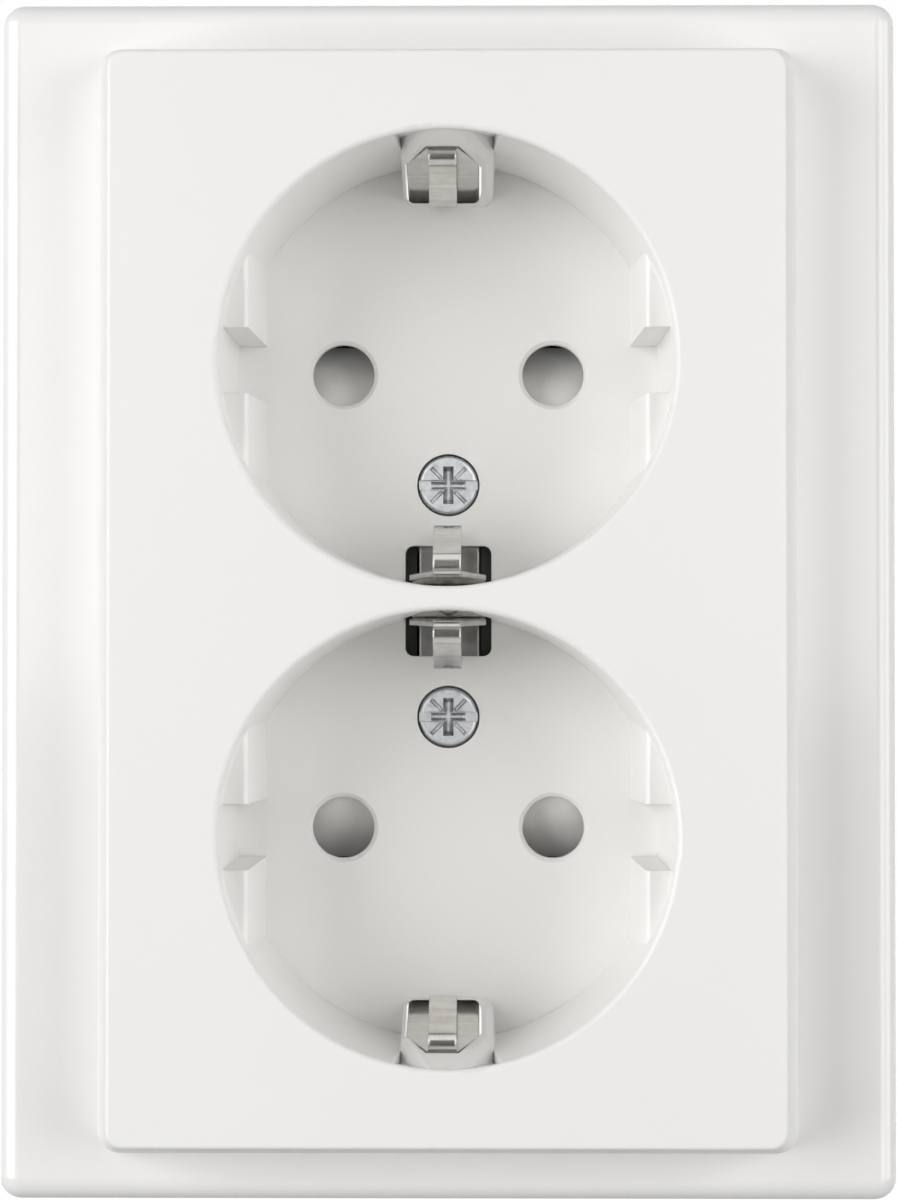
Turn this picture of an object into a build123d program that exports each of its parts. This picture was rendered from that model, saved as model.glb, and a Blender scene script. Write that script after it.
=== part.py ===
from build123d import *
import os
from math import hypot

# Double earthed socket outlet for a wall box, in millimetres.
# X runs to the right, Y into the wall and Z up. The wall surface is Y = 0, and the origin
# lies midway between the two box screws.

os.makedirs("parts", exist_ok=True)

# Cups of the plug face, one above the other
web_width = 1.0
cup_mouth_radius = 19.5
cup_taper = 0.4
cup_rim_round = 0.5
cup_depth = 17.5
cup_wall = 1.5
cup_floor = 1.4
pin_pitch = 19.0
pin_length = 19.0
pin_hole_radius = 2.8
pin_hole_lead = 0.35

# Guide shelves on the left and right of each cup
shelf_drop = 3.0
shelf_inset = 2.65
shelf_draft = 2.5
shelf_round = 0.45
guide_width = 5.2
guide_draft = 0.9

# Centre plate
plate_width = 57.8
plate_height = 93.4
plate_corner = 1.4
plate_edge_round = 0.35
plate_rise = 9.0
plate_flare = 1.8
plate_face = 1.8
plate_base_corner = 2.0
seat_overlap = 1.6
spigot_depth = 2.4
spigot_wall = 1.2
spigot_clearance = 0.2

# Cover frame
frame_band = 4.25
frame_yoke_gap = 2.0
frame_corner = 2.0
frame_shoulder = 1.9
frame_wall = 2.0
frame_skin = 2.0
frame_inner_corner = 0.8
collar_wall = 1.2
collar_depth = 3.0
rib_thickness = 1.2
rib_pitch = 34.0
rib_depth = 5.0

# Cover screws
screw_offset = 10.0
screw_radius = 1.5
screw_length = 8.6
screw_head_radius = 2.68
screw_head_height = 1.8
screw_head_round = 0.35
screw_head_sink = 0.15
screw_seat_clearance = 0.15
screw_hole_clearance = 0.2
screw_boss_radius = 4.0
slot_width = 0.88
slot_depth = 0.4
cross_span = 3.4
cross_width = 0.95
cross_depth = 1.2
cross_taper = 17.0
tick_radius = 1.5
tick_length = 1.4
tick_width = 0.4
tick_depth = 0.25
tick_taper = 30.0

# Earth clips
clip_width = 6.4
inner_clip_width = 6.8
clip_thickness = 0.5
clip_offset = -0.4
clip_bend = 0.8
clip_top_depth = 5.0
clip_shoulder = 4.0
clip_floor_inset = 3.1
clip_fold_inset = 0.5
inner_clip_spread = 2.0
inner_clip_lean = 0.4
inner_clip_shoulder = 7.0
finger_width = 2.45
finger_fold = 0.9
finger_bend = 0.92
finger_crest_bend = 4.0
finger_crest_share = 0.52
finger_crest_inset = 4.7
finger_end_inset = 4.0
inner_crest_inset = 5.05
inner_end_inset = 4.4
inner_finger_set = 0.27
finger_floor_gap = 0.9
tail_thickness = 0.7
collar_radius = 2.3
collar_length = 1.6
thread_clearance = 0.05
tail_notch = 0.9
tail_half_height = 5.0
tail_relief = 0.5
rivet_radius = 0.8
rivet_head_radius = 1.25
rivet_head_height = 0.5

# Hoods around the outer clips and the window in the web between the cups
hood_wall = 0.63
hood_top_half_width = 1.35
hood_top_depth = 0.8
hood_brow_half_width = 2.15
hood_brow_depth = 2.0
hood_shoulder_depth = 8.0
hood_root_flare = 0.3
hood_floor_inset = 3.8
hood_corner = 0.6
niche_half_width = 4.7
niche_depth = 0.8
window_clearance = 0.2
window_floor_inset = 3.6
window_wall = 0.8
window_corner = 0.75
web_half_width = 3.9
web_top_half_width = 2.1
web_top_depth = 2.2
web_shoulder_depth = 12.0

# Shutters and their springs
shutter_thickness = 1.6
slide_clearance = 0.25
shutter_travel = 6.0
ramp_depth = 3.6
ramp_half_width = 3.0
ramp_cover = 0.2
ramp_foot = 1.2
ramp_tail = 1.7
arm_gap = 0.4
bar_height = 3.0
pocket_clearance = 0.3
spring_thickness = 0.35
spring_width = 1.4
spring_bend = 1.3
spring_gap = 0.2
spring_root = 1.2
spring_edge = 2.3

# Carrier, yoke and housing
yoke_thickness = 1.0
yoke_edge = 2.3
yoke_height = 71.0
yoke_corner = 4.0
box_screw_spacing = 60.0
box_slot_length = 6.4
box_slot_radius = 2.1
carrier_flange = 1.5
flange_width = 50.0
flange_height = 64.0
flange_corner = 6.0
carrier_depth = 5.0
carrier_wall = 0.6
tunnel_clearance = 0.3
fit_gap = 0.2
housing_wall = 1.5
housing_back = 1.8
housing_round = 1.6
body_flat = 21.0
partition_wall = 0.8
partition_height = 20.0

# Housing screws
housing_screw_radius = 1.45
housing_screw_grip = 10.0
housing_screw_bite = 3.0
housing_screw_head_radius = 2.6
housing_screw_head_height = 1.8
housing_boss_wall = 0.9
housing_screw_inset = 0.3

# Contact rails
rail_thickness = 0.8
rail_half_width = 3.0
rail_pin_gap = 1.0
leaf_thickness = 0.6
leaf_half_height = 2.2
leaf_pinch = 2.2
leaf_flare = 2.8
leaf_bend = 0.8
leaf_lead = 3.0
leaf_root = 5.5

# Wire clamps and release buttons
tongue_half_height = 6.2
tongue_end_gap = 1.2
clamp_thickness = 0.35
clamp_half_height = 5.8
channel_gap = 0.5
clamp_bend = 1.1
clamp_rise = 7.0
clamp_tip_gap = 0.5
clamp_tip_rise = 2.2
entry_wall = 0.6
entry_pitch = 7.4
entry_corner = 1.0
button_width = 1.8
button_height = 4.6
button_room = 3.2
button_proud = 1.3
button_collar = 0.3
button_collar_length = 1.6
button_nose = 1.0
button_nose_height = 4.0
button_clearance = 0.2

# Places worked out from the sizes above
cut_overrun = 1.0
yoke_front_y = -yoke_thickness
carrier_front_y = yoke_front_y - carrier_flange
floor_back_y = carrier_front_y - shutter_thickness - 2 * slide_clearance
floor_y = floor_back_y - cup_floor
front_y = floor_y - cup_depth
frame_face_y = front_y + plate_rise
cup_floor_radius = cup_mouth_radius - cup_taper
cup_spacing = 2 * (cup_mouth_radius + cup_rim_round) + web_width
cup_z = cup_spacing / 2
pin_x = pin_pitch / 2
screw_z = cup_z - screw_offset
cup_outer_radius = cup_floor_radius + cup_wall
pin_tip_y = floor_y + pin_length
rail_y = pin_tip_y + rail_pin_gap
clamp_foot_y = rail_y + rail_thickness + fit_gap
clamp_top_y = clamp_foot_y + clamp_rise
housing_inner_y = clamp_top_y + button_room
housing_depth = housing_inner_y + housing_back
tongue_end_y = housing_inner_y - tongue_end_gap
cups = [(0, cup_z), (0, -cup_z)]
screws = [(0, screw_z), (0, -screw_z)]
pins = [(x, z) for x in (pin_x, -pin_x) for z in (cup_z, -cup_z)]


def layer(y):
    """Sketch plane at depth y that faces out of the wall, with X right and Z up."""
    return Plane(origin=(0, y, 0), x_dir=(1, 0, 0), z_dir=(0, -1, 0))


def spots(y, places, out=-1):
    """Planes for holes drilled at depth y, whose mouths face along out times Y."""
    return [Plane(origin=(x, y, z), x_dir=(1, 0, 0), z_dir=(0, out, 0)) for x, z in places]


def bent_strip(plane, points, radius, thickness, width, side):
    """Strip bent along points in the plane, with its thickness laid to one side of that line."""
    with BuildPart() as strip:
        with BuildSketch(plane):
            with BuildLine():
                FilletPolyline(*points, radius=radius)
                offset(amount=thickness, side=side)
            make_face()
        extrude(amount=width / 2, both=True)
    return strip.part


# Cover frame: moulded shell with rounded shoulders and a stiffening collar behind the plate's opening
plate_base_width = plate_width + 2 * plate_flare
plate_base_height = plate_height + 2 * plate_flare
opening_width = plate_base_width - 2 * seat_overlap
opening_height = plate_base_height - 2 * seat_overlap
opening_corner = plate_base_corner
yoke_width = box_screw_spacing + box_slot_length + 2 * yoke_edge
frame_width = yoke_width + 2 * (frame_yoke_gap + frame_wall)
frame_height = plate_base_height + 2 * frame_band
collar_half_width = opening_width / 2 + collar_wall
rib_length = frame_width / 2 - frame_wall - collar_half_width

with BuildPart() as cover_frame:
    with BuildSketch(layer(0)):
        RectangleRounded(frame_width, frame_height, frame_corner)
    extrude(amount=-frame_face_y)
    fillet(cover_frame.faces().sort_by(Axis.Y)[0].edges(), frame_shoulder)
    with BuildSketch(layer(0)):
        RectangleRounded(
            frame_width - 2 * frame_wall, frame_height - 2 * frame_wall, frame_inner_corner
        )
    extrude(amount=-frame_face_y - frame_skin, mode=Mode.SUBTRACT)
    with BuildSketch(layer(frame_face_y + frame_skin + collar_depth)):
        RectangleRounded(
            2 * collar_half_width, opening_height + 2 * collar_wall, opening_corner + collar_wall
        )
    extrude(amount=collar_depth)
    with BuildSketch(layer(frame_face_y + rib_depth)):
        with GridLocations(2 * collar_half_width + rib_length, rib_pitch, 2, 3):
            Rectangle(rib_length, rib_thickness)
    extrude(amount=rib_depth - frame_skin)
    with BuildSketch(layer(0)):
        RectangleRounded(opening_width, opening_height, opening_corner)
    extrude(amount=-frame_face_y, mode=Mode.SUBTRACT)

# Guide shelves: two chord blocks on each side of a cup, with the guide groove between them
shelf_flat = cup_floor_radius - shelf_inset
shelf_root_radius = cup_outer_radius - 0.25 * cup_wall
shelf_y = front_y + shelf_drop

with BuildPart() as cup_guides:
    with BuildSketch(layer(floor_y)):
        with Locations(*cups):
            Circle(shelf_root_radius)
            Rectangle(2 * shelf_flat, cup_spacing, mode=Mode.SUBTRACT)
    extrude(amount=cup_depth - shelf_drop, taper=shelf_draft)
    with BuildSketch(layer(floor_y)):
        with Locations(*cups):
            Rectangle(2 * cup_outer_radius, guide_width)
    extrude(amount=cup_depth, taper=-guide_draft, mode=Mode.SUBTRACT)
    front_edges = cup_guides.edges().filter_by(Axis.Z).group_by(Axis.Y)[0]
    fillet(front_edges, shelf_round)


window_half_width = clip_width / 2 + window_clearance
hood_half_width = window_half_width + hood_wall
hood_steps = [
    (hood_top_depth, hood_top_half_width, clip_offset),
    (hood_brow_depth, hood_brow_half_width, clip_offset / 2),
    (hood_shoulder_depth, hood_half_width, 0),
    (cup_depth + cup_floor / 2, hood_half_width, 0),
]


def hood_section(depth, half_width, middle_x, side):
    """Corners of the hood's section at a depth below the plate's front, for the cup on one side."""
    fall = (cup_mouth_radius - cup_floor_radius + hood_floor_inset) / (cup_depth - hood_top_depth)
    face_z = cup_z + cup_mouth_radius - fall * (depth - hood_top_depth)
    root_z = cup_z + shelf_root_radius
    root_half_width = half_width + hood_root_flare
    right_edge = [
        (half_width - hood_corner, face_z),
        (half_width, face_z + hood_corner),
        (root_half_width, root_z),
    ]
    left_edge = [(-x, z) for x, z in reversed(right_edge)]
    return [(middle_x + x, side * z) for x, z in right_edge + left_edge]


# Niche in the cup's wall that the hood stands in, narrowing to the hood's own width
niche_steps = [
    (cup_rim_round, niche_half_width, cup_mouth_radius),
    (hood_shoulder_depth, hood_half_width, cup_floor_radius + niche_depth),
]
niche_low = cup_floor_radius - 2 * niche_depth

with BuildPart() as hood_niche:
    for depth, half_width, reach in niche_steps:
        with BuildSketch(layer(front_y + depth)):
            with Locations((0, cup_z + (niche_low + reach) / 2)):
                Rectangle(2 * half_width, reach - niche_low)
    loft()


def clip_window(middle_x, half_width, top_half_width, shoulder_depth, top_depth, low_z, high_z):
    """House-shaped cutter that lets a clip in from behind, between two heights."""
    shoulder_y = front_y + shoulder_depth
    top_y = front_y + top_depth
    with BuildPart() as cutter:
        with BuildSketch(Plane.XY.offset(low_z)):
            with Locations((middle_x, 0)):
                Polygon(
                    (-half_width, floor_back_y + cut_overrun),
                    (half_width, floor_back_y + cut_overrun),
                    (half_width, shoulder_y),
                    (top_half_width, top_y),
                    (-top_half_width, top_y),
                    (-half_width, shoulder_y),
                    align=None,
                )
        extrude(amount=high_z - low_z)
        fillet(cutter.edges().filter_by(Axis.Y).group_by(Axis.Z)[0], window_corner)
    return cutter.part


window_floor_radius = cup_floor_radius - window_floor_inset
outer_window = clip_window(
    clip_offset,
    window_half_width,
    finger_width / 2 + window_clearance,
    clip_top_depth + clip_shoulder - window_clearance,
    clip_top_depth - clip_thickness - window_clearance,
    cup_z + window_floor_radius,
    cup_z + cup_outer_radius - window_wall,
)
web_window = clip_window(
    0,
    web_half_width,
    web_top_half_width,
    web_shoulder_depth,
    web_top_depth,
    window_floor_radius - cup_z,
    0,
)

# Centre plate: tapered block on the frame's face, hollow behind, with the two cups moulded in
spigot_width = opening_width - 2 * spigot_clearance
spigot_height = opening_height - 2 * spigot_clearance

with BuildPart() as centre_plate:
    with BuildSketch(layer(frame_face_y)):
        RectangleRounded(plate_base_width, plate_base_height, plate_base_corner)
    with BuildSketch(layer(front_y)):
        RectangleRounded(plate_width, plate_height, plate_corner)
    loft()
    fillet(centre_plate.faces().sort_by(Axis.Y)[0].edges(), plate_edge_round)
    with BuildSketch(layer(frame_face_y + spigot_depth)):
        RectangleRounded(spigot_width, spigot_height, opening_corner - spigot_clearance)
    extrude(amount=spigot_depth)
    with BuildSketch(layer(frame_face_y + spigot_depth)):
        Rectangle(spigot_width - 2 * spigot_wall, spigot_height - 2 * spigot_wall)
    extrude(amount=plate_rise + spigot_depth - plate_face, mode=Mode.SUBTRACT)
    with BuildSketch(layer(floor_back_y)):
        with Locations(*cups):
            Circle(cup_outer_radius)
    extrude(amount=floor_back_y - front_y - plate_face / 2)
    rim_radius = cup_mouth_radius + cup_rim_round
    rim_dip = cup_rim_round * (1 - 0.5**0.5)
    for cup in (cup_z, -cup_z):
        with BuildSketch(Plane(origin=(0, 0, cup), x_dir=(0, 1, 0), z_dir=(1, 0, 0))):
            with BuildLine():
                Polyline(
                    (floor_y, 0),
                    (front_y - cut_overrun, 0),
                    (front_y - cut_overrun, rim_radius),
                    (front_y, rim_radius),
                )
                ThreePointArc(
                    (front_y, rim_radius),
                    (front_y + rim_dip, cup_mouth_radius + rim_dip),
                    (front_y + cup_rim_round, cup_mouth_radius),
                )
                Polyline(
                    (front_y + cup_rim_round, cup_mouth_radius),
                    (floor_y, cup_floor_radius),
                    (floor_y, 0),
                )
            make_face()
        revolve(axis=Axis((0, 0, cup), (0, 1, 0)), mode=Mode.SUBTRACT)
    add(cup_guides.part)
    add(hood_niche.part, mode=Mode.SUBTRACT)
    add(hood_niche.part.mirror(Plane.XY), mode=Mode.SUBTRACT)
    for side in (1, -1):
        for depth, half_width, middle_x in hood_steps:
            with BuildSketch(layer(front_y + depth)):
                Polygon(*hood_section(depth, half_width, middle_x, side), align=None)
        loft(ruled=True)
    for cutter in (outer_window, web_window):
        add(cutter, mode=Mode.SUBTRACT)
        add(cutter.mirror(Plane.XY), mode=Mode.SUBTRACT)
    with BuildSketch(layer(carrier_front_y)):
        with Locations(*screws):
            Circle(screw_boss_radius)
    extrude(amount=carrier_front_y - floor_back_y)
    with Locations(*spots(floor_y, screws)):
        CounterBoreHole(
            screw_radius + screw_hole_clearance,
            screw_head_radius + screw_seat_clearance,
            screw_head_height + screw_head_sink,
            depth=carrier_front_y - floor_y + cut_overrun,
        )
    with Locations(*spots(floor_y, pins)):
        CounterSinkHole(
            pin_hole_radius,
            pin_hole_radius + pin_hole_lead,
            depth=cup_floor + cut_overrun,
            counter_sink_angle=90,
        )

# Cover screws: flat round heads with a slot and a cross recess, turned so that the slots lie level
head_y = floor_y + screw_head_sink
seat_y = head_y + screw_head_height
screw_tip_y = seat_y + screw_length

with BuildPart() as cover_screw:
    with BuildSketch(Plane.XY):
        with BuildLine():
            Polyline(
                (0, head_y),
                (screw_head_radius, head_y),
                (screw_head_radius, seat_y),
                (screw_radius, seat_y),
                (screw_radius, screw_tip_y),
                (0, screw_tip_y),
                close=True,
            )
        make_face()
    revolve(axis=Axis.Y)
    head_face = cover_screw.faces().sort_by(Axis.Y)[0]
    fillet(head_face.edges(), screw_head_round)
    chamfer(cover_screw.faces().sort_by(Axis.Y)[-1].edges(), screw_radius / 3)
    with BuildSketch(layer(head_y)):
        Rectangle(2 * screw_head_radius + cut_overrun, slot_width)
    extrude(amount=-slot_depth, mode=Mode.SUBTRACT)
    with BuildSketch(layer(head_y)):
        Rectangle(cross_span, cross_width)
        Rectangle(cross_width, cross_span)
    extrude(amount=-cross_depth, taper=cross_taper, mode=Mode.SUBTRACT)
    with BuildSketch(layer(head_y)):
        with PolarLocations(tick_radius, 4, start_angle=45):
            Rectangle(tick_length, tick_width)
    extrude(amount=-tick_depth, taper=tick_taper, mode=Mode.SUBTRACT)

with BuildPart() as cover_screws:
    with Locations((0, 0, screw_z), (0, 0, -screw_z)):
        add(cover_screw.part)

# Earth bridge: one strip behind the cup floors, bent up at both ends into the outer clips
clip_top_y = front_y + clip_top_depth
clip_fold_radius = cup_floor_radius - clip_fold_inset
clip_floor_radius = cup_floor_radius - clip_floor_inset
clip_slope = (clip_fold_radius - clip_floor_radius) / (floor_y - clip_top_y)
bridge_end = cup_z + clip_floor_radius - clip_slope * (carrier_front_y - floor_y)
clip_end = cup_z + clip_fold_radius
bridge_plane = Plane.YZ.offset(clip_offset)
bridge_path = [
    (clip_top_y, -clip_end),
    (carrier_front_y, -bridge_end),
    (carrier_front_y, bridge_end),
    (clip_top_y, clip_end),
]
bridge_strip = bent_strip(bridge_plane, bridge_path, clip_bend, clip_thickness, clip_width, Side.RIGHT)


def clip_corners(middle_x, width, shoulder):
    """Cutter for the sloped shoulders at the front end of both clips on a strip of that width."""
    with BuildPart() as cutter:
        with BuildSketch(Plane.XY):
            for hand in (1, -1):
                with Locations((middle_x, 0)):
                    Polygon(
                        (hand * width / 2, clip_top_y + shoulder),
                        (hand * finger_width / 2, clip_top_y),
                        (hand * finger_width / 2, clip_top_y - cut_overrun),
                        (hand * width, clip_top_y - cut_overrun),
                        (hand * width, clip_top_y + shoulder),
                        align=None,
                    )
        extrude(amount=cup_z + cup_outer_radius, both=True)
    return cutter.part


def finger(middle_x, axis_z, out, root_radius, fold_radius, crest_radius, end_radius):
    """Contact finger folded over a clip's front end, bowed towards the cup's axis at axis_z."""
    end_depth = cup_depth - finger_floor_gap
    crest_depth = clip_top_depth + finger_crest_share * (end_depth - clip_top_depth)
    places = [
        (clip_top_depth + clip_shoulder, root_radius + clip_thickness),
        (clip_top_depth - clip_thickness, fold_radius + clip_thickness),
        (clip_top_depth - clip_thickness, fold_radius - finger_fold - clip_thickness),
        (crest_depth, crest_radius),
        (end_depth, end_radius),
    ]
    points = [(front_y + depth, axis_z + out * radius) for depth, radius in places]
    bends = [finger_bend, finger_bend, finger_crest_bend]
    side = Side.LEFT if out > 0 else Side.RIGHT
    return bent_strip(
        Plane.YZ.offset(middle_x), points, bends, clip_thickness, finger_width, side
    )


tail_edge = clip_offset - clip_width / 2
tail_back = tail_edge + tail_notch
tail_face_x = tail_back + tail_thickness

with BuildPart() as earth_bridge:
    add(bridge_strip)
    add(clip_corners(clip_offset, clip_width, clip_shoulder), mode=Mode.SUBTRACT)
    root_radius = clip_fold_radius - clip_slope * clip_shoulder
    crest_radius = cup_floor_radius - finger_crest_inset
    end_radius = cup_floor_radius - finger_end_inset
    for side in (1, -1):
        contact = finger(
            clip_offset, side * cup_z, side, root_radius, clip_fold_radius, crest_radius, end_radius
        )
        add(contact)
    with BuildSketch(layer(carrier_front_y)):
        with Locations(((tail_edge + tail_back) / 2, 0)):
            Rectangle(tail_back - tail_edge, 2 * (tail_half_height + tail_relief))
    extrude(amount=-clip_thickness, mode=Mode.SUBTRACT)
    with BuildSketch(Plane.YZ.offset(tail_back)):
        with Locations(((carrier_front_y + tongue_end_y) / 2, 0)):
            Rectangle(tongue_end_y - carrier_front_y, 2 * tail_half_height)
    extrude(amount=tail_thickness)
    with BuildSketch(layer(carrier_front_y + clip_thickness)):
        with Locations(*screws):
            Circle(collar_radius)
    extrude(amount=-collar_length)
    with Locations(*spots(carrier_front_y, screws)):
        Hole(screw_radius + thread_clearance, depth=clip_thickness + collar_length + cut_overrun)
    with Locations(*spots(carrier_front_y, [(0, 0)])):
        Hole(rivet_radius, depth=clip_thickness + cut_overrun)

# Inner earth clips: a U-shaped strip riveted to the bridge, one leg for each cup
inner_front_z = inner_clip_spread + inner_clip_lean
inner_slope = inner_clip_lean / (carrier_front_y - clip_top_y)
inner_path = [
    (clip_top_y, -inner_front_z),
    (carrier_front_y, -inner_clip_spread),
    (carrier_front_y, inner_clip_spread),
    (clip_top_y, inner_front_z),
]

with BuildPart() as inner_earth_clips:
    add(bent_strip(Plane.YZ, inner_path, clip_bend, clip_thickness, inner_clip_width, Side.LEFT))
    add(clip_corners(0, inner_clip_width, inner_clip_shoulder), mode=Mode.SUBTRACT)
    fold_radius = cup_z - inner_front_z
    root_radius = fold_radius + inner_slope * clip_shoulder
    for side in (1, -1):
        crest_radius = cup_floor_radius - inner_crest_inset - side * inner_finger_set
        end_radius = cup_floor_radius - inner_end_inset - side * inner_finger_set
        contact = finger(0, side * cup_z, -side, root_radius, fold_radius, crest_radius, end_radius)
        add(contact)
    with Locations(*spots(carrier_front_y - clip_thickness, [(0, 0)])):
        Hole(rivet_radius, depth=clip_thickness + cut_overrun)

# Rivet through the inner clips and the bridge
rivet_front_y = carrier_front_y - clip_thickness
rivet_back_y = carrier_front_y + clip_thickness

with BuildPart() as earth_rivet:
    with BuildSketch(layer(rivet_back_y)):
        Circle(rivet_radius)
    extrude(amount=rivet_back_y - rivet_front_y)
    for seat, lift in ((rivet_front_y, rivet_head_height), (rivet_back_y, -rivet_head_height)):
        with BuildSketch(layer(seat)):
            Circle(rivet_head_radius)
        extrude(amount=lift)
    fillet(earth_rivet.faces().sort_by(Axis.Y)[0].edges(), rivet_head_height / 2)

# Shutters: two ramps behind the pin holes of a cup, joined by arms and a bar that pass the screw boss
shutter_y = floor_back_y + slide_clearance
shutter_back_y = carrier_front_y - slide_clearance
ramp_back_y = shutter_y + ramp_depth
ramp_low_z = cup_z - pin_hole_radius - ramp_cover
ramp_high_z = cup_z + pin_hole_radius + ramp_cover
shutter_low_z = ramp_low_z - ramp_foot
arm_inner_x = screw_boss_radius + arm_gap
arm_outer_x = pin_x - ramp_half_width + ramp_cover
bar_low_z = screw_z + screw_boss_radius + arm_gap + shutter_travel
bar_high_z = bar_low_z + bar_height

with BuildPart() as upper_shutter:
    with BuildSketch(layer(shutter_back_y)):
        with Locations((0, (bar_low_z + bar_high_z) / 2)):
            Rectangle(2 * arm_outer_x, bar_high_z - bar_low_z)
        for hand in (1, -1):
            with Locations((hand * (arm_inner_x + arm_outer_x) / 2, (shutter_low_z + bar_high_z) / 2)):
                Rectangle(arm_outer_x - arm_inner_x, bar_high_z - shutter_low_z)
    extrude(amount=shutter_thickness)
    for hand in (1, -1):
        with BuildSketch(Plane.YZ.offset(hand * pin_x)):
            Polygon(
                (shutter_y, shutter_low_z),
                (shutter_y, ramp_low_z),
                (ramp_back_y, ramp_high_z),
                (ramp_back_y, ramp_high_z - ramp_tail),
                (shutter_back_y + ramp_tail, shutter_low_z),
                align=None,
            )
        extrude(amount=ramp_half_width, both=True)

with BuildPart() as lower_shutter:
    mirror(upper_shutter.part, about=Plane.XY)

# Carrier: flange on the yoke and a body through its window, with pockets for what slides on it
pocket_half_width = ramp_half_width + pocket_clearance
pocket_high_z = ramp_high_z + pocket_clearance
pocket_low_z = shutter_low_z - shutter_travel - pocket_clearance
pocket_back_y = ramp_back_y + pocket_clearance
carrier_back_y = carrier_depth
carrier_radius = hypot(pin_x + pocket_half_width, pocket_high_z) + carrier_wall
body_radius = carrier_radius + fit_gap + housing_wall
carrier_inset = housing_wall + fit_gap
spring_reach = body_flat - carrier_inset - spring_edge
spring_front_y = carrier_front_y + slide_clearance
housing_screw_edge = housing_wall + housing_screw_inset + housing_boss_wall
housing_screw_z = body_radius - housing_screw_edge - housing_screw_head_radius
housing_screws_at = [(0, housing_screw_z), (0, -housing_screw_z)]
recess_low_z = spring_root - pocket_clearance
recess_high_z = shutter_low_z + pocket_clearance
recess_inner_x = pin_x - pocket_half_width
recess_outer_x = spring_reach + pocket_clearance
recess_back_y = spring_front_y + spring_width + slide_clearance


def body_outline(inset):
    """Round body with two flats, drawn in a sketch and drawn in by inset all round."""
    Circle(body_radius - inset)
    Rectangle(2 * (body_flat - inset), 2 * body_radius, mode=Mode.INTERSECT)


with BuildPart() as contact_carrier:
    with BuildSketch(layer(yoke_front_y)):
        RectangleRounded(flange_width, flange_height, flange_corner)
    extrude(amount=carrier_flange)
    with BuildSketch(layer(carrier_back_y)):
        body_outline(carrier_inset)
    extrude(amount=carrier_back_y - yoke_front_y)
    with BuildSketch(layer(carrier_front_y)):
        with Locations((clip_offset, 0)):
            Rectangle(clip_width + 2 * fit_gap, flange_height + cut_overrun)
    extrude(amount=-clip_thickness, mode=Mode.SUBTRACT)
    with BuildSketch(layer(carrier_front_y)):
        for x, z in pins:
            hand = 1 if z > 0 else -1
            with Locations((x, hand * (pocket_low_z + pocket_high_z) / 2)):
                Rectangle(2 * pocket_half_width, pocket_high_z - pocket_low_z)
    extrude(amount=carrier_front_y - pocket_back_y, mode=Mode.SUBTRACT)
    with BuildSketch(layer(carrier_front_y)):
        with GridLocations(recess_inner_x + recess_outer_x, recess_low_z + recess_high_z, 2, 2):
            Rectangle(recess_outer_x - recess_inner_x, recess_high_z - recess_low_z)
    extrude(amount=carrier_front_y - recess_back_y, mode=Mode.SUBTRACT)
    with BuildSketch(layer(carrier_front_y)):
        with Locations(*pins):
            Circle(pin_hole_radius + tunnel_clearance)
        with Locations((tail_back + tail_thickness / 2, 0)):
            Rectangle(tail_thickness + 2 * fit_gap, 2 * (tail_half_height + fit_gap))
    extrude(amount=carrier_front_y - carrier_back_y, mode=Mode.SUBTRACT)
    with Locations(*spots(carrier_front_y, screws)):
        Hole(collar_radius + fit_gap, depth=screw_tip_y - carrier_front_y + fit_gap)
    with Locations(*spots(carrier_front_y, [(0, 0)])):
        Hole(rivet_head_radius + fit_gap, depth=clip_thickness + rivet_head_height + fit_gap)
    with Locations(*spots(carrier_back_y, housing_screws_at, out=1)):
        Hole(housing_screw_radius, depth=carrier_depth)

# Shutter springs: a hairpin strip under each ramp, resting on the carrier's ledge near the middle
spring_plane = layer(spring_front_y + spring_width / 2)
spring_path = [
    (pin_x - ramp_half_width, spring_root),
    (spring_reach, spring_root),
    (pin_x, shutter_low_z - spring_gap),
]
hairpin = bent_strip(spring_plane, spring_path, spring_bend, spring_thickness, spring_width, Side.LEFT)

with BuildPart() as upper_shutter_springs:
    add(hairpin)
    mirror(hairpin, about=Plane.YZ)

with BuildPart() as lower_shutter_springs:
    mirror(upper_shutter_springs.part, about=Plane.XY)

# Support yoke: flat steel plate on the wall, with a window for the body and a slot for each box screw
with BuildPart() as support_yoke:
    with BuildSketch(layer(0)):
        RectangleRounded(yoke_width, yoke_height, yoke_corner)
        with Locations((box_screw_spacing / 2, 0), (-box_screw_spacing / 2, 0)):
            SlotOverall(box_slot_length, 2 * box_slot_radius, mode=Mode.SUBTRACT)
    extrude(amount=yoke_thickness)
    with BuildSketch(layer(0)):
        body_outline(housing_wall)
    extrude(amount=yoke_thickness, mode=Mode.SUBTRACT)

# Contact rails: a folded grip for one pin of each cup, joined by a strip that carries the wire tongue
leaf_front_y = carrier_back_y + fit_gap
rail_inner_x = pin_x - rail_half_width
tongue_face_x = rail_inner_x + rail_thickness
grip_half = [
    (rail_half_width - leaf_thickness, rail_y),
    (rail_half_width - leaf_thickness, rail_y - leaf_lead),
    (leaf_pinch, leaf_front_y + leaf_root - leaf_lead),
    (leaf_flare - leaf_thickness, leaf_front_y),
]
grip_path = [(pin_x - u, y) for u, y in reversed(grip_half)] + [(pin_x + u, y) for u, y in grip_half]

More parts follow.
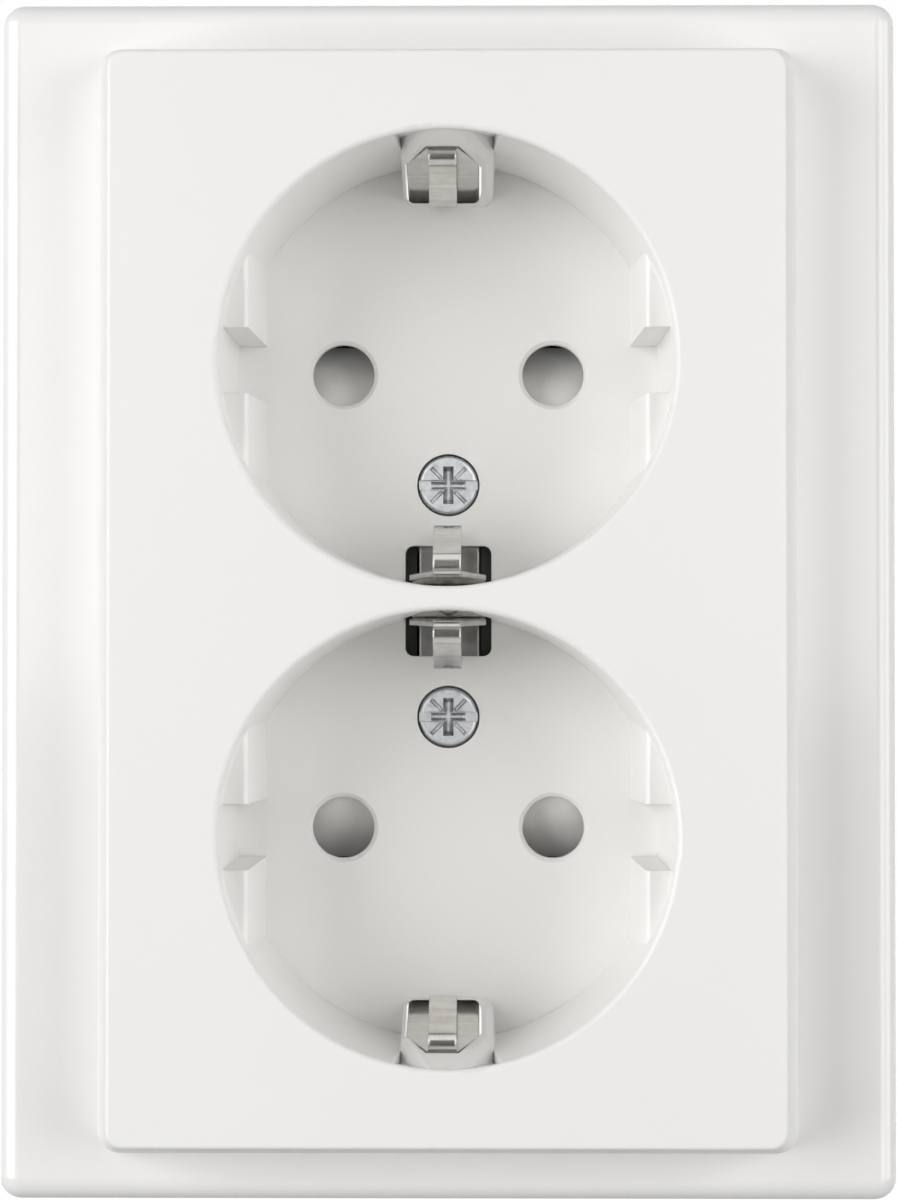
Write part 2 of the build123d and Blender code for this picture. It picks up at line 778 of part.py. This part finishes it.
with BuildPart() as line_rail:
    for side in (1, -1):
        grip_plane = Plane.XY.offset(side * cup_z)
        add(
            bent_strip(
                grip_plane, grip_path, leaf_bend, leaf_thickness, 2 * leaf_half_height, Side.LEFT
            )
        )
    with BuildSketch(layer(rail_y)):
        with Locations((pin_x, 0)):
            Rectangle(2 * rail_half_width, 2 * (cup_z + leaf_half_height))
    extrude(amount=-rail_thickness)
    with BuildSketch(Plane.YZ.offset(rail_inner_x)):
        with Locations(((rail_y + tongue_end_y) / 2, 0)):
            Rectangle(tongue_end_y - rail_y, 2 * tongue_half_height)
    extrude(amount=rail_thickness)

with BuildPart() as neutral_rail:
    mirror(line_rail.part, about=Plane.YZ)

# Wire clamps: a looped strip on each tongue, whose free leg grips the bare wire
clamp_tip_y = clamp_foot_y + clamp_tip_rise
partition_x = rail_inner_x - fit_gap - partition_wall / 2
clamp_reach = partition_x - partition_wall / 2 - channel_gap - tail_face_x


def clamp_spring(face_x):
    """Clamp loop that stands on a rail beside a tongue whose wire side is at face_x."""
    places = [
        (clamp_tip_gap, clamp_foot_y),
        (clamp_reach, clamp_foot_y),
        (clamp_reach, clamp_top_y),
        (clamp_tip_gap, clamp_tip_y),
    ]
    points = [(face_x + u, y) for u, y in places]
    return bent_strip(Plane.XY, points, clamp_bend, clamp_thickness, 2 * clamp_half_height, Side.LEFT)


with BuildPart() as line_clamp_spring:
    add(clamp_spring(tongue_face_x))

with BuildPart() as neutral_clamp_spring:
    mirror(line_clamp_spring.part, about=Plane.YZ)

with BuildPart() as earth_clamp_spring:
    add(clamp_spring(tail_face_x))

# Release buttons: pressed in from behind to push a clamp's leg off its wire
button_x = clamp_reach - button_width / 2
button_nose_y = clamp_tip_y + (clamp_top_y - clamp_tip_y) * (button_x - clamp_tip_gap) / (
    clamp_reach - clamp_tip_gap
)
button_seat_y = housing_inner_y - button_clearance


def release_button(face_x):
    """Button with a collar behind the housing's back wall and a nose that meets the clamp's leg."""
    middle_x = face_x + button_x
    with BuildPart() as button:
        with BuildSketch(layer(housing_depth + button_proud)):
            with Locations((middle_x, 0)):
                RectangleRounded(button_width, button_height, button_width / 4)
        extrude(amount=housing_depth + button_proud - button_seat_y)
        with BuildSketch(layer(button_seat_y)):
            with Locations((middle_x, 0)):
                Rectangle(button_width + 2 * button_collar, button_height + 2 * button_collar)
        extrude(amount=button_collar_length)
        with BuildSketch(layer(button_seat_y)):
            with Locations((middle_x - (button_width - button_nose) / 2, 0)):
                Rectangle(button_nose, button_nose_height)
        extrude(amount=button_seat_y - button_nose_y - fit_gap)
        fillet(button.faces().sort_by(Axis.Y)[-1].edges(), button_width / 6)
    return button.part


with BuildPart() as line_release_button:
    add(release_button(tongue_face_x))

with BuildPart() as neutral_release_button:
    mirror(line_release_button.part, about=Plane.YZ)

with BuildPart() as earth_release_button:
    add(release_button(tail_face_x))

# Rear housing: cup in the wall box with partitions, wire entries, button slots and screw bosses
pole_faces = [(tongue_face_x, 1), (-tongue_face_x, -1), (tail_face_x, 1)]
entry_size = clamp_reach - button_width - button_clearance - entry_wall + fit_gap
entry_x = entry_size / 2 - fit_gap
entries = [
    (face + hand * entry_x, z) for face, hand in pole_faces for z in (entry_pitch / 2, -entry_pitch / 2)
]
button_slots = [(face + hand * button_x, 0) for face, hand in pole_faces]
housing_seat_y = carrier_back_y + housing_screw_grip
housing_boss_radius = housing_screw_head_radius + screw_seat_clearance + housing_boss_wall

with BuildPart() as rear_housing:
    with BuildSketch(layer(housing_depth)):
        body_outline(0)
    extrude(amount=housing_depth)
    fillet(rear_housing.faces().sort_by(Axis.Y)[-1].edges(), housing_round)
    with BuildSketch(layer(housing_inner_y)):
        body_outline(housing_wall)
    extrude(amount=housing_inner_y, mode=Mode.SUBTRACT)
    with BuildSketch(layer(housing_inner_y)):
        with Locations(*housing_screws_at):
            Circle(housing_boss_radius)
    extrude(amount=housing_inner_y - carrier_back_y)
    with BuildSketch(layer(housing_inner_y)):
        with Locations((partition_x, 0), (-partition_x, 0)):
            Rectangle(partition_wall, partition_height)
    extrude(amount=housing_inner_y - rail_y)
    with BuildSketch(layer(housing_depth)):
        with Locations(*entries):
            RectangleRounded(entry_size, entry_size, entry_corner)
        with Locations(*button_slots):
            Rectangle(button_width + 2 * button_clearance, button_height + 2 * button_clearance)
    extrude(amount=housing_back, mode=Mode.SUBTRACT)
    with Locations(*spots(housing_depth, housing_screws_at, out=1)):
        CounterBoreHole(
            housing_screw_radius + screw_hole_clearance,
            housing_screw_head_radius + screw_seat_clearance,
            housing_depth - housing_seat_y,
            depth=housing_depth - carrier_back_y + cut_overrun,
        )

# Housing screws: pan heads at the bottom of the deep recesses in the housing's back
housing_head_y = housing_seat_y + housing_screw_head_height

with BuildPart() as housing_screw:
    with BuildSketch(layer(housing_seat_y)):
        Circle(housing_screw_radius)
    extrude(amount=housing_screw_grip + housing_screw_bite)
    with BuildSketch(layer(housing_head_y)):
        Circle(housing_screw_head_radius)
    extrude(amount=housing_screw_head_height)
    fillet(housing_screw.faces().sort_by(Axis.Y)[-1].edges(), housing_screw_head_height / 3)
    with BuildSketch(layer(housing_head_y)):
        Rectangle(cross_span, cross_width)
        Rectangle(cross_width, cross_span)
    extrude(amount=housing_screw_head_height / 2, mode=Mode.SUBTRACT)

with BuildPart() as housing_screws:
    with Locations(*[(0, 0, z) for _, z in housing_screws_at]):
        add(housing_screw.part)

# One file for each piece
pieces = {
    "cover_frame": cover_frame,
    "centre_plate": centre_plate,
    "cover_screws": cover_screws,
    "earth_bridge": earth_bridge,
    "inner_earth_clips": inner_earth_clips,
    "earth_rivet": earth_rivet,
    "upper_shutter": upper_shutter,
    "lower_shutter": lower_shutter,
    "upper_shutter_springs": upper_shutter_springs,
    "lower_shutter_springs": lower_shutter_springs,
    "contact_carrier": contact_carrier,
    "support_yoke": support_yoke,
    "line_rail": line_rail,
    "neutral_rail": neutral_rail,
    "line_clamp_spring": line_clamp_spring,
    "neutral_clamp_spring": neutral_clamp_spring,
    "earth_clamp_spring": earth_clamp_spring,
    "line_release_button": line_release_button,
    "neutral_release_button": neutral_release_button,
    "earth_release_button": earth_release_button,
    "rear_housing": rear_housing,
    "housing_screws": housing_screws,
}
for name, piece in pieces.items():
    piece.part.label = name
    export_step(piece.part, f"parts/{name}.step")
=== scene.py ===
import bmesh
import bpy
import numpy as np
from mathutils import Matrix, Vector


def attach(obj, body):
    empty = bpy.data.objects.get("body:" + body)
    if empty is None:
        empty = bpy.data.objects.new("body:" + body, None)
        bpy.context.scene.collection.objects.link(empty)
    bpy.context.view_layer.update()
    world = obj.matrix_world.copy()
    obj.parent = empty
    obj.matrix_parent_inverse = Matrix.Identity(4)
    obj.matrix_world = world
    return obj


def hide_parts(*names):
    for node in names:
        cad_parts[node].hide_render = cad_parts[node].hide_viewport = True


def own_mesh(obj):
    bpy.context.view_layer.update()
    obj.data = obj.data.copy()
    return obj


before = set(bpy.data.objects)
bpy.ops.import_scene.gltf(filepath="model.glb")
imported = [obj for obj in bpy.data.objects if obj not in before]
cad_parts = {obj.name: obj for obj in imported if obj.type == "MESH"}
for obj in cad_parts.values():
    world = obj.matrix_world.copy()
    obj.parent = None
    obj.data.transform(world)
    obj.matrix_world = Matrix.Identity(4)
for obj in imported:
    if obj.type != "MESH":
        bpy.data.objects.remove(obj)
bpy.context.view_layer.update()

# Support yoke: the flat plate behind the cover frame that the two box screws pull on to the wall.
# It is zinc-plated sheet steel, blanked from strip, so it shows faint rolling lines and the soft
# cloudy sheen of the plating.


def tone(code):
    """An sRGB hex colour as linear red, green, blue and an alpha of 1."""
    parts = np.array([int(code[i : i + 2], 16) for i in (1, 3, 5)]) / 255.0
    linear = np.where(parts <= 0.04045, parts / 12.92, ((parts + 0.055) / 1.055) ** 2.4)
    return (*linear.tolist(), 1.0)


def add(tree, kind, settings=None, **inputs):
    """Adds one node with its settings. An input is a value, or a (node, output) pair to link.

    Inputs go by name with _ for a space, or by place as i0, i1 and so on.
    """
    node = tree.nodes.new(kind)
    for name, value in (settings or {}).items():
        setattr(node, name, value)
    for name, value in inputs.items():
        by_place = name[0] == "i" and name[1:].isdigit()
        socket = node.inputs[int(name[1:]) if by_place else name.replace("_", " ")]
        if isinstance(value, tuple) and hasattr(value[0], "outputs"):
            tree.links.new(value[0].outputs[value[1]], socket)
        else:
            socket.default_value = value
    return node


def finish(name, colour, metallic, roughness):
    """A new material of one colour: it, its tree, its surface shader and its coordinates node."""
    material = bpy.data.materials.new(name)
    material.use_nodes = True
    tree = material.node_tree
    shader = tree.nodes["Principled BSDF"]
    shader.inputs["Base Color"].default_value = tone(colour)
    shader.inputs["Metallic"].default_value = metallic
    shader.inputs["Roughness"].default_value = roughness
    place = add(tree, "ShaderNodeTexCoord")
    return material, tree, shader, place


def rolled_metal(name, colour, dull, roughness, line_mm, along, depth_mm, cloud_mm, edge_mm):
    """Rolled or plated metal: streaks drawn out along one axis, clouds of duller plating over them.

    The tone is the streak noise with a share of the cloud noise mixed in. It picks between the two
    colours and makes the duller places rougher. Edges are broken to a radius of edge_mm. Real
    rolling lines are too fine to show, so line_mm draws them coarser.
    """
    streak_squeeze, cloud_share = 0.04, 0.4
    dull_below, bright_above = 0.3, 0.65
    dull_roughness, bright_roughness = roughness * 1.8, roughness * 0.4
    material, tree, shader, place = finish(name, colour, metallic=1.0, roughness=roughness)
    stretch = [1.0, 1.0, 1.0]
    stretch["XYZ".index(along)] = streak_squeeze
    lines = add(tree, "ShaderNodeMapping", Vector=(place, "Object"), Scale=stretch)
    streaks = add(
        tree, "ShaderNodeTexNoise", Vector=(lines, "Vector"), Scale=1000.0 / line_mm, Detail=3.0
    )
    clouds = add(
        tree, "ShaderNodeTexNoise", Vector=(place, "Object"), Scale=1000.0 / cloud_mm, Detail=3.0
    )
    wear = add(tree, "ShaderNodeMix", i0=cloud_share, i2=(streaks, "Fac"), i3=(clouds, "Fac"))
    tint = add(tree, "ShaderNodeValToRGB", Fac=(wear, "Result"))
    tint.color_ramp.elements[0].position = dull_below
    tint.color_ramp.elements[0].color = tone(dull)
    tint.color_ramp.elements[1].position = bright_above
    tint.color_ramp.elements[1].color = tone(colour)
    tree.links.new(tint.outputs["Color"], shader.inputs["Base Color"])
    rough = add(
        tree, "ShaderNodeMapRange", {"clamp": False}, Value=(wear, "Result"),
        To_Min=dull_roughness, To_Max=bright_roughness,
    )
    tree.links.new(rough.outputs["Result"], shader.inputs["Roughness"])
    edge = add(tree, "ShaderNodeBevel", {"samples": 4}, Radius=edge_mm / 1000.0)
    bump = add(
        tree, "ShaderNodeBump", Height=(streaks, "Fac"), Strength=1.0, Distance=depth_mm / 1000.0,
        Normal=(edge, "Normal"),
    )
    tree.links.new(bump.outputs["Normal"], shader.inputs["Normal"])
    return material


def dress(material, *names):
    """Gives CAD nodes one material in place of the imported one."""
    for name in names:
        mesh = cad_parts[name].data
        mesh.materials.clear()
        mesh.materials.append(material)


zinc_sheet = rolled_metal(
    "zinc_plated_sheet_steel", colour="#C9CACB", dull="#A9ABAD", roughness=0.34,
    line_mm=0.5, along="X", depth_mm=0.004, cloud_mm=4.0, edge_mm=0.1,
)
dress(zinc_sheet, "support_yoke")

# Contact carrier and rear housing: the two insulating mouldings that hold the live parts.
# Both are glass-filled thermoset, pressed in steel moulds and screwed together through the yoke.
# The charcoal skin is dull, and the glass near the surface gives it a slightly uneven grain.


def moulded_plastic(
    name, colour, drift, ior, roughness, skin_mm, skin_depth_mm, drift_mm, edge_mm
):
    """Moulded plastic: a slow drift of colour and gloss, and a skin that waves at skin_mm.

    The skin noise raises the surface by skin_depth_mm. On the white face mouldings that is the
    long shrinkage ripple that bends reflections. On the others it is the grain of the mould, which
    is too fine to show, so skin_mm draws it coarser.
    """
    drift_below, colour_above = 0.2, 0.8
    drift_roughness, colour_roughness = roughness * 0.8, roughness * 1.2
    material, tree, shader, place = finish(name, colour, metallic=0.0, roughness=roughness)
    shader.inputs["IOR"].default_value = ior
    slow = add(
        tree, "ShaderNodeTexNoise", Vector=(place, "Object"), Scale=1000.0 / drift_mm, Detail=2.0
    )
    skin = add(
        tree, "ShaderNodeTexNoise", Vector=(place, "Object"), Scale=1000.0 / skin_mm, Detail=1.0
    )
    tint = add(tree, "ShaderNodeValToRGB", Fac=(slow, "Fac"))
    tint.color_ramp.elements[0].position = drift_below
    tint.color_ramp.elements[0].color = tone(drift)
    tint.color_ramp.elements[1].position = colour_above
    tint.color_ramp.elements[1].color = tone(colour)
    tree.links.new(tint.outputs["Color"], shader.inputs["Base Color"])
    rough = add(
        tree, "ShaderNodeMapRange", {"clamp": False}, Value=(slow, "Fac"),
        To_Min=drift_roughness, To_Max=colour_roughness,
    )
    tree.links.new(rough.outputs["Result"], shader.inputs["Roughness"])
    edge = add(tree, "ShaderNodeBevel", {"samples": 4}, Radius=edge_mm / 1000.0)
    bump = add(
        tree, "ShaderNodeBump", Height=(skin, "Fac"), Strength=1.0,
        Distance=skin_depth_mm / 1000.0, Normal=(edge, "Normal"),
    )
    tree.links.new(bump.outputs["Normal"], shader.inputs["Normal"])
    return material


thermoset = moulded_plastic(
    "glass_filled_thermoset", colour="#3A3B3D", drift="#333436", ior=1.55,
    roughness=0.5, skin_mm=0.4, skin_depth_mm=0.004, drift_mm=5.0, edge_mm=0.15,
)
dress(thermoset, "contact_carrier", "rear_housing")

# Housing screws: two pan-head screws deep in the housing's back, through the yoke into the carrier.
# They are cold-headed steel with a blue zinc plating, which is satin and slightly mottled.
zinc_screw = rolled_metal(
    "zinc_plated_screw_steel", colour="#D6D8DA", dull="#A6A8AA", roughness=0.32,
    line_mm=0.6, along="Y", depth_mm=0.003, cloud_mm=1.6, edge_mm=0.06,
)
dress(zinc_screw, "housing_screws")

# Contact rails: stamped and folded strip that grips the pins of both cups and carries the wire
# tongues. It is bare rolled brass, so it is warm, fairly bright and lined along the strip.
brass_strip = rolled_metal(
    "rolled_contact_brass", colour="#D8B56A", dull="#BF9A52", roughness=0.28,
    line_mm=0.4, along="Z", depth_mm=0.003, cloud_mm=3.0, edge_mm=0.06,
)
dress(brass_strip, "line_rail", "neutral_rail")

# Wire clamps: one loop of spring strip on each tongue, with its free leg across the wire's way.
# They are stainless strip, bent on pins, with a cool, even shine and faint lines along it. They
# stand on the rail or the earth strip's tail, and the button presses the leg towards the foot.


def bent_loop(corners_mm, bend_mm, thickness_mm, edges_mm):
    """A strip carried along straight runs joined by arcs: its vertices, side quads and end faces.

    An arc of radius bend starts bend times the tangent of half the turn before its corner. Its
    points lie one radius from a centre that stands to the side of the turn. The section is a
    rectangle with rounded edges, from the path to one thickness left of it, between the two edges.
    """
    arc_points, edge_points, edge_share = 17, 4, 0.25
    corners = np.asarray(corners_mm) / 1000.0
    bend = bend_mm / 1000.0
    thickness = thickness_mm / 1000.0
    low, high = np.asarray(edges_mm) / 1000.0
    runs = np.diff(corners, axis=0)
    heading = np.unwrap(np.arctan2(runs[:, 1], runs[:, 0]))
    turn = np.diff(heading)
    reach = np.sign(turn) * bend
    ahead = np.stack([np.cos(heading), np.sin(heading)], axis=1)
    left = np.stack([-ahead[:, 1], ahead[:, 0]], axis=1)
    begin = corners[1:-1] - ahead[:-1] * (bend * np.tan(np.abs(turn) / 2))[:, None]
    centre = begin + left[:-1] * reach[:, None]
    angle = heading[:-1, None] + turn[:, None] * np.linspace(0.0, 1.0, arc_points)
    across = np.stack([-np.sin(angle), np.cos(angle)], axis=-1)
    arcs = centre[:, None] - across * reach[:, None, None]
    path = np.concatenate([corners[:1], arcs.reshape(-1, 2), corners[-1:]])
    across = np.concatenate([left[:1], across.reshape(-1, 2), left[-1:]])
    softness = edge_share * thickness
    quarters = np.arange(4)[:, None] + np.linspace(0.0, 1.0, edge_points)
    sweep = np.pi * (1.0 + 0.5 * quarters)
    inner_a = np.array([softness, thickness - softness, thickness - softness, softness])
    inner_b = np.array([low + softness, low + softness, high - softness, high - softness])
    ring_a = (inner_a[:, None] + softness * np.cos(sweep)).ravel()
    ring_b = (inner_b[:, None] + softness * np.sin(sweep)).ravel()
    flat = path[:, None] + across[:, None] * ring_a[:, None]
    depth = np.broadcast_to(ring_b, flat.shape[:2])
    index = np.arange(depth.size).reshape(depth.shape)
    beside = np.roll(index, -1, axis=1)
    quads = np.stack([index[:-1], beside[:-1], beside[1:], index[1:]], axis=-1).reshape(-1, 4)
    ends = np.stack([index[0, ::-1], index[-1]])
    return np.concatenate([flat, depth[:, :, None]], axis=2).reshape(-1, 3), quads, ends


def spring_piece(name, strips, quads, ends, material):
    """One mesh object from strips with the same faces, turned outwards, riding on the socket."""
    start = np.arange(len(strips))[:, None, None] * strips.shape[1]
    sides = (quads + start).reshape(-1, quads.shape[1])
    caps = (ends + start).reshape(-1, ends.shape[1])
    mesh = bpy.data.meshes.new(name)
    mesh.from_pydata(strips.reshape(-1, 3).tolist(), [], sides.tolist() + caps.tolist())
    shell = bmesh.new()
    shell.from_mesh(mesh)
    bmesh.ops.recalc_face_normals(shell, faces=shell.faces)
    shell.to_mesh(mesh)
    shell.free()
    mesh.shade_smooth()
    mesh.set_sharp_from_angle(angle=0.6)
    mesh.materials.append(material)
    piece = bpy.data.objects.new(name, mesh)
    bpy.context.scene.collection.objects.link(piece)
    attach(piece, "socket")
    return piece


spring_strip = rolled_metal(
    "stainless_spring_strip", colour="#C6C7C8", dull="#A7A9AB", roughness=0.24,
    line_mm=0.3, along="X", depth_mm=0.002, cloud_mm=2.5, edge_mm=0.05,
)
strip_mm = 0.35
clamp_foot_mm = 15.0
loop_runs = np.array([(0.5, clamp_foot_mm), (7.0, clamp_foot_mm), (7.0, 22.0), (0.5, 17.2)])
for name, face_x, hand in (("line", 7.3, 1), ("neutral", 7.3, -1), ("earth", -2.0, 1)):
    points, quads, ends = bent_loop(
        loop_runs + (face_x, 0.0), bend_mm=1.1, thickness_mm=strip_mm, edges_mm=(-5.8, 5.8)
    )
    strip = points[None] * (hand, 1, 1)
    loop = spring_piece(f"{name}_clamp_loop", strip, quads, ends, spring_strip)
    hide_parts(f"{name}_clamp_spring")
    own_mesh(loop)

# Release buttons: push buttons in the housing's back wall, pressed to free a wire from its clamp.
# They are grey moulded nylon with the dull, slightly waxy skin of an unpainted moulding.
nylon = moulded_plastic(
    "grey_moulded_nylon", colour="#7B7F83", drift="#73777B", ior=1.53,
    roughness=0.45, skin_mm=0.5, skin_depth_mm=0.004, drift_mm=3.0, edge_mm=0.12,
)
dress(nylon, "line_release_button", "neutral_release_button", "earth_release_button")

# Earth clips: a strip with the two outer clips lies behind both cups, and a shorter one with the
# two inner clips is riveted to it. They are nickel-plated spring brass, stamped and bent: bright,
# with soft streaks, duller patches where the tool pressed, and worn edges that catch the light.
nickel_strip = rolled_metal(
    "nickel_plated_spring_brass", colour="#E4E2DE", dull="#CAC8C3", roughness=0.15,
    line_mm=0.9, along="X", depth_mm=0.0007, cloud_mm=0.9, edge_mm=0.25,
)
dress(nickel_strip, "earth_bridge", "inner_earth_clips", "earth_rivet")

# Shutters: slides that close the pin holes until a plug's two pins push both ramps at once.
# They are white acetal, moulded and left bare, with a slippery, half-dull skin.
acetal = moulded_plastic(
    "white_moulded_acetal", colour="#FAF9F6", drift="#F7F6F2", ior=1.48,
    roughness=0.38, skin_mm=0.8, skin_depth_mm=0.003, drift_mm=4.0, edge_mm=0.12,
)
dress(acetal, "upper_shutter", "lower_shutter")

# Shutter springs: a pair of hairpins behind each shutter, resting on a ledge of the carrier.
# They are bent from the same stainless strip as the clamps, and the shutter closes their legs.
hairpin_foot_mm = 1.2
hairpin_runs = np.array([(6.5, hairpin_foot_mm), (17.0, hairpin_foot_mm), (9.5, 16.1)])
points, quads, ends = bent_loop(
    hairpin_runs, bend_mm=1.3, thickness_mm=strip_mm, edges_mm=(-2.25, -0.85)
)
hairpin = points[:, [0, 2, 1]]
for name, up in (("upper", 1), ("lower", -1)):
    pair = np.stack([hairpin * (hand, 1, up) for hand in (1, -1)])
    hairpins = spring_piece(f"{name}_shutter_hairpins", pair, quads, ends, spring_strip)
    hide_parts(f"{name}_shutter_springs")
    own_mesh(hairpins)

# Centre plate: the white plug face with both cups, held to the strip behind by a screw in each cup.
# It is injection-moulded thermoplastic from a satin mould, a warm neutral white whose soft gloss
# blurs the lamps, with slight shrinkage ripples over the face.
plate_plastic = moulded_plastic(
    "white_satin_thermoplastic", colour="#F5F4F2", drift="#F4F3F1", ior=1.53,
    roughness=0.35, skin_mm=16.0, skin_depth_mm=0.004, drift_mm=20.0, edge_mm=0.12,
)
dress(plate_plastic, "centre_plate")

# Cover frame: the surround that the plate clamps against the wall.
# It is moulded from the same white thermoplastic in a polished mould, so it mirrors the lamps
# sharply along its rounded shoulders.
frame_plastic = moulded_plastic(
    "white_gloss_thermoplastic", colour="#F5F4F3", drift="#F4F3F2", ior=1.53,
    roughness=0.12, skin_mm=20.0, skin_depth_mm=0.004, drift_mm=25.0, edge_mm=0.12,
)
dress(frame_plastic, "cover_frame")

# Cover screws: one in the floor of each cup, into the collars of the earth strip.
# They are zinc-plated steel like the housing screws, with a slot and a cross recess, and both
# slots lie level.
dress(zinc_screw, "cover_screws")

# Stage: a pale floor far below, a white surround, and soft lights on all four sides.
# The left softbox is the strongest of those in front, so the plate's shadow falls on the right.
# A dark card behind the camera, hidden from it, keeps metal that faces it from washing out.


def stage_sheet(name, corners, colour):
    """A flat matt sheet of the studio, from its four corners in metres."""
    mesh = bpy.data.meshes.new(name)
    mesh.from_pydata(corners, [], [(0, 1, 2, 3)])
    paint, *_ = finish(f"{name}_paint", colour, metallic=0.0, roughness=0.8)
    mesh.materials.append(paint)
    sheet = bpy.data.objects.new(name, mesh)
    bpy.context.scene.collection.objects.link(sheet)
    return sheet


reach, level = 2.0, -0.7
floor_corners = [
    (-reach, -reach, level), (reach, -reach, level), (reach, reach, level), (-reach, reach, level)
]
floor = stage_sheet("floor", floor_corners, "#A8A8A6")
side, top, front = 0.06, 0.2, -0.5
card_corners = [
    (-side, front, -top), (-side, front, top), (side, front, top), (side, front, -top)
]
stage_sheet("dark_card", card_corners, "#2A2A2A").visible_camera = False


def when_seen(tree):
    """A node that gives 1 where the eye sees the stage: straight, mirrored or through glass."""
    rays = add(tree, "ShaderNodeLightPath")
    other = add(
        tree, "ShaderNodeMath", {"operation": "MAXIMUM"},
        i0=(rays, "Is Glossy Ray"), i1=(rays, "Is Transmission Ray"),
    )
    return add(
        tree, "ShaderNodeMath", {"operation": "MAXIMUM"},
        i0=(rays, "Is Camera Ray"), i1=(other, "Value"),
    )


# The floor looks pale, and the four tenths of plain paint left in it keep the object's shadow.
tree = floor.data.materials[0].node_tree
pale_share = 0.6
share = add(
    tree, "ShaderNodeMath", {"operation": "MULTIPLY"}, i0=(when_seen(tree), "Value"), i1=pale_share
)
pale = add(tree, "ShaderNodeEmission", Color=tone("#FFFFFF"), Strength=1.0)
paint = (tree.nodes["Principled BSDF"], "BSDF")
mix = add(
    tree, "ShaderNodeMixShader", Fac=(share, "Value"), i1=paint, i2=(pale, "Emission")
)
tree.links.new(mix.outputs["Shader"], tree.nodes["Material Output"].inputs["Surface"])

world = bpy.data.worlds.new("white_surround")
world.use_nodes = True
tree = world.node_tree
tree.nodes.clear()
ambient = add(tree, "ShaderNodeBackground", Color=tone("#FFFFFF"), Strength=0.1)
white = add(tree, "ShaderNodeBackground", Color=tone("#FFFFFF"), Strength=1.0)
mix = add(
    tree, "ShaderNodeMixShader", Fac=(when_seen(tree), "Value"),
    i1=(ambient, "Background"), i2=(white, "Background"),
)
add(tree, "ShaderNodeOutputWorld", Surface=(mix, "Shader"))
bpy.context.scene.world = world

plate_centre = Vector((0, -0.0235, 0))


def soft_light(name, at, width, height, watts):
    """A rectangular area light at a place in metres, turned to face the plate."""
    lamp = bpy.data.lights.new(name, "AREA")
    lamp.shape = "RECTANGLE"
    lamp.size = width
    lamp.size_y = height
    lamp.energy = watts
    holder = bpy.data.objects.new(name, lamp)
    bpy.context.scene.collection.objects.link(holder)
    holder.location = at
    aim = plate_centre - Vector(at)
    holder.rotation_euler = aim.to_track_quat("-Z", "Y").to_euler()


soft_light("left_softbox", (-0.634, -0.658, 0.075), width=0.5, height=0.72, watts=4.4)
soft_light("left_side_strip", (-0.842, -0.330, 0.075), width=0.4, height=0.72, watts=2.6)
soft_light("right_softbox", (0.600, -0.690, 0.075), width=0.4, height=0.72, watts=2.55)
soft_light("right_side_strip", (0.853, -0.300, 0.075), width=0.4, height=0.72, watts=2.7)
soft_light("front_bar", (0.0, -0.900, 0.10), width=0.5, height=0.25, watts=1.0)
soft_light("rear_softbox", (-0.15, 1.2, 0.4), width=1.6, height=1.6, watts=7.0)

# The camera stands 26 cm before the plate, almost straight ahead of its centre.
camera_data = bpy.data.cameras.new("camera")
camera_data.sensor_width = 36.0
camera_data.lens = 91.476
camera = bpy.data.objects.new("camera", camera_data)
bpy.context.scene.collection.objects.link(camera)
camera.location = (0.00276, -0.28221, -0.004245)
aim = Vector((0.000185, -0.0235, -0.000183)) - camera.location
camera.rotation_euler = aim.to_track_quat("-Z", "Y").to_euler()
bpy.context.scene.camera = camera
bpy.context.scene.view_settings.view_transform = "Standard"
